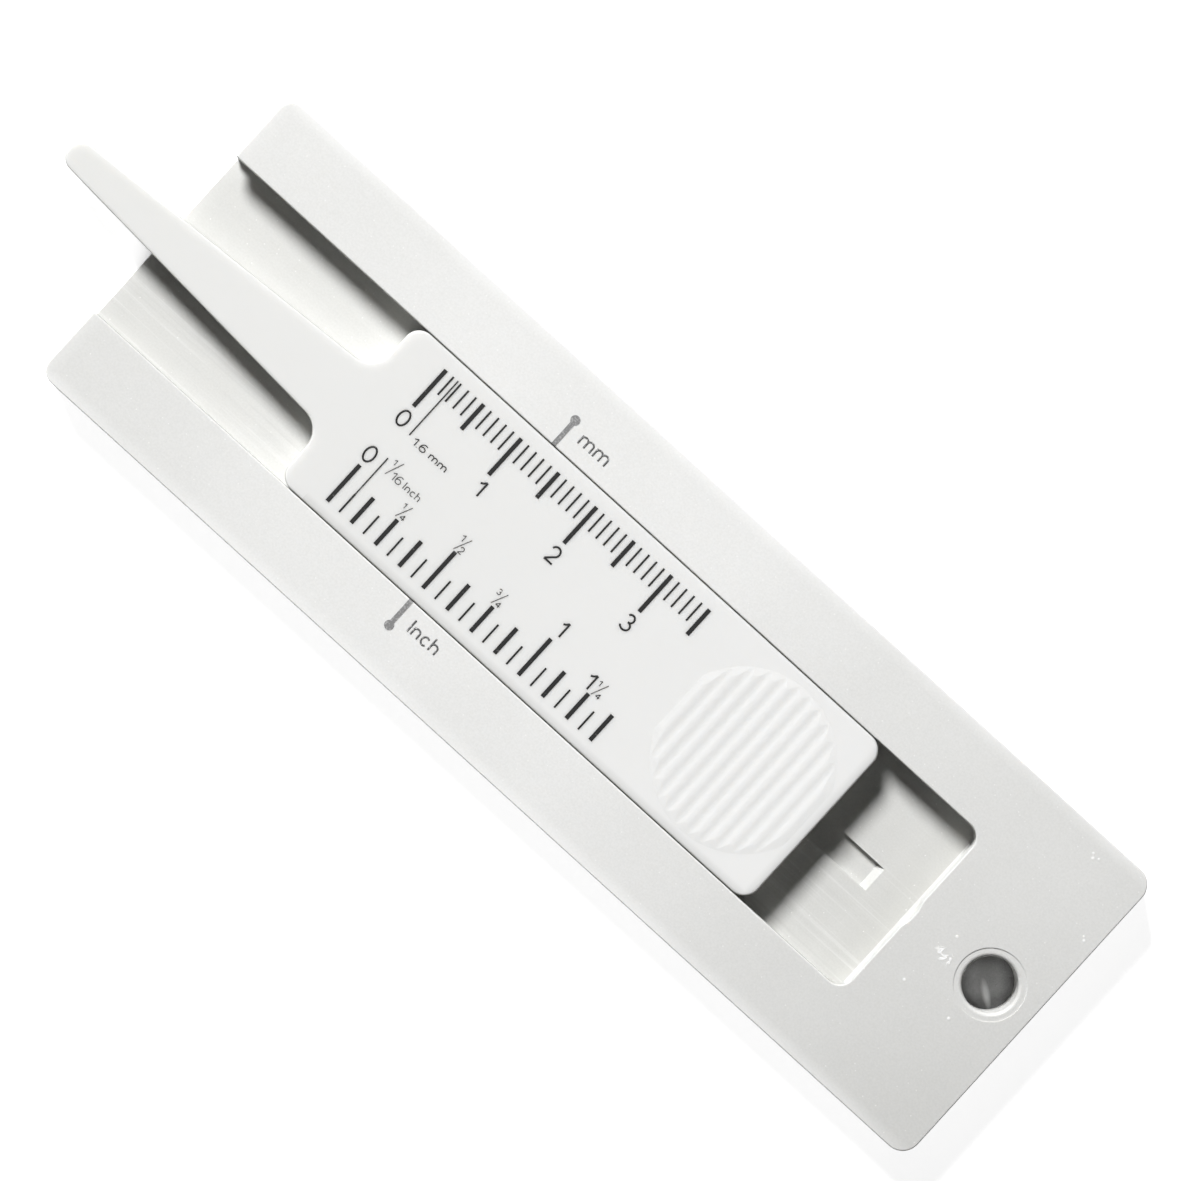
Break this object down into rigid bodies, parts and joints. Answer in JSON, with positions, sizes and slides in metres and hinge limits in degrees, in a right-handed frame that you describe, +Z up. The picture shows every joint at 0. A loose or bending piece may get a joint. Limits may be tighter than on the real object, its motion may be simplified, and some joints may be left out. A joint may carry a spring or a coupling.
{
  "type": "tire tread depth gauge",
  "caption": "Slide-type tire tread depth gauge: a channelled plastic body and a slider with a tapered probe, metric and inch scales, a ribbed thumb grip and a key-ring hole.",
  "frame": {"origin": "centre of the body's flat underside", "axes": "+X along the gauge, from the probe towards the key-ring end; +Y across it, towards the metric scale; +Z up, out of the face that carries the scales"},
  "size_m": [0.1277, 0.0368, 0.0061],
  "materials": {
    "body_plastic": "white ABS, finely grained mould finish",
    "slider_plastic": "white ABS, smooth satin mould finish",
    "black_print": "black pad-printing ink",
    "grey_print": "grey pad-printing ink"
  },
  "bodies": {
    "body": {"body": "body_plastic", "metric_index_mark": "grey_print", "inch_index_mark": "grey_print"},
    "slider": {"slider": "slider_plastic", "metric_graduations": "black_print", "inch_graduations": "black_print", "wear_limit_lines": "black_print"}
  },
  "joints": [
    {"name": "slider_travel", "type": "slide", "parent": "body", "child": "slider", "axis": [-1, 0, 0], "range_m": [-0.0127, 0.0223]}
  ]
}
